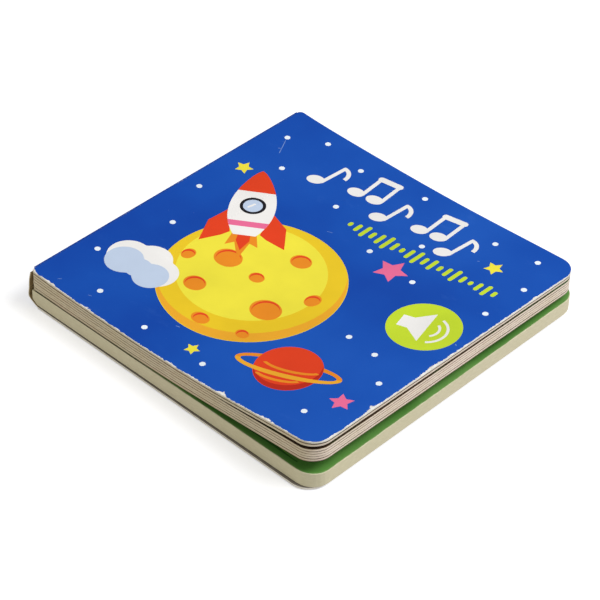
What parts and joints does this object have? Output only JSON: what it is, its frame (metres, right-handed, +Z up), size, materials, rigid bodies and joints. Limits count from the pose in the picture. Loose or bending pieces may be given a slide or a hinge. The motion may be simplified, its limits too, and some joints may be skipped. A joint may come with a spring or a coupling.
{
  "type": "sound book",
  "caption": "Square board book with thick leaves and a battery sound module in its thick back part; the front cover and the leaves swing open on the spine.",
  "frame": {"origin": "middle of the outer box, at the underside that the closed book lies on", "axes": "+X from the spine to the fore-edge, +Y from the tail to the head, +Z up out of the front cover"},
  "size_m": [0.1674, 0.1662, 0.026],
  "materials": {
    "printed_cover": "printed board with a satin laminate, worn white at its edges",
    "printed_back": "printed board with a satin laminate",
    "page_board": "bare board edges between printed faces",
    "printed_page": "printed green, satin laminate",
    "greyboard": "bare pale board",
    "module_plastic": "moulded, matt",
    "door_plastic": "moulded, matt",
    "steel": "plain",
    "magnet": "plated",
    "contact_brass": "stamped strip",
    "laminate": "circuit board laminate",
    "resin": "glossy drop of resin",
    "switch_film": "clear film with printed tracks",
    "cone_paper": "pressed dark paper",
    "red_wire": "plastic sleeve",
    "black_wire": "plastic sleeve"
  },
  "bodies": {
    "back_part": {"spine_wrap_lower": "printed_cover", "back_cover": "printed_back", "last_page": "printed_page", "block_frame": "greyboard", "module_case": "module_plastic", "module_lid": "module_plastic", "battery_door": "door_plastic", "battery_screw": "steel", "button_cell_1": "steel", "button_cell_2": "steel", "button_cell_3": "steel", "contact_plus": "contact_brass", "contact_top_bridge": "contact_brass", "contact_door_bridge": "contact_brass", "contact_minus": "contact_brass", "circuit_board": "laminate", "chip_blob": "resin", "film_switch": "switch_film", "speaker_frame": "steel", "speaker_cone": "cone_paper", "speaker_magnet": "magnet", "wire_red": "red_wire", "wire_black": "black_wire"},
    "page_stack": {"page_block": "page_board", "spine_wrap_upper": "printed_cover"},
    "cover_board": {"front_cover": "printed_cover"}
  },
  "joints": [
    {"name": "pages_hinge", "type": "hinge", "parent": "back_part", "child": "page_stack", "pos_m": [-0.08345, 0, 0.0086], "axis": [0, -1, 0], "range_deg": [0, 180]},
    {"name": "front_cover_hinge", "type": "hinge", "parent": "page_stack", "child": "cover_board", "pos_m": [-0.08205, 0, 0.0194], "axis": [0, -1, 0], "range_deg": [0, 175]}
  ]
}
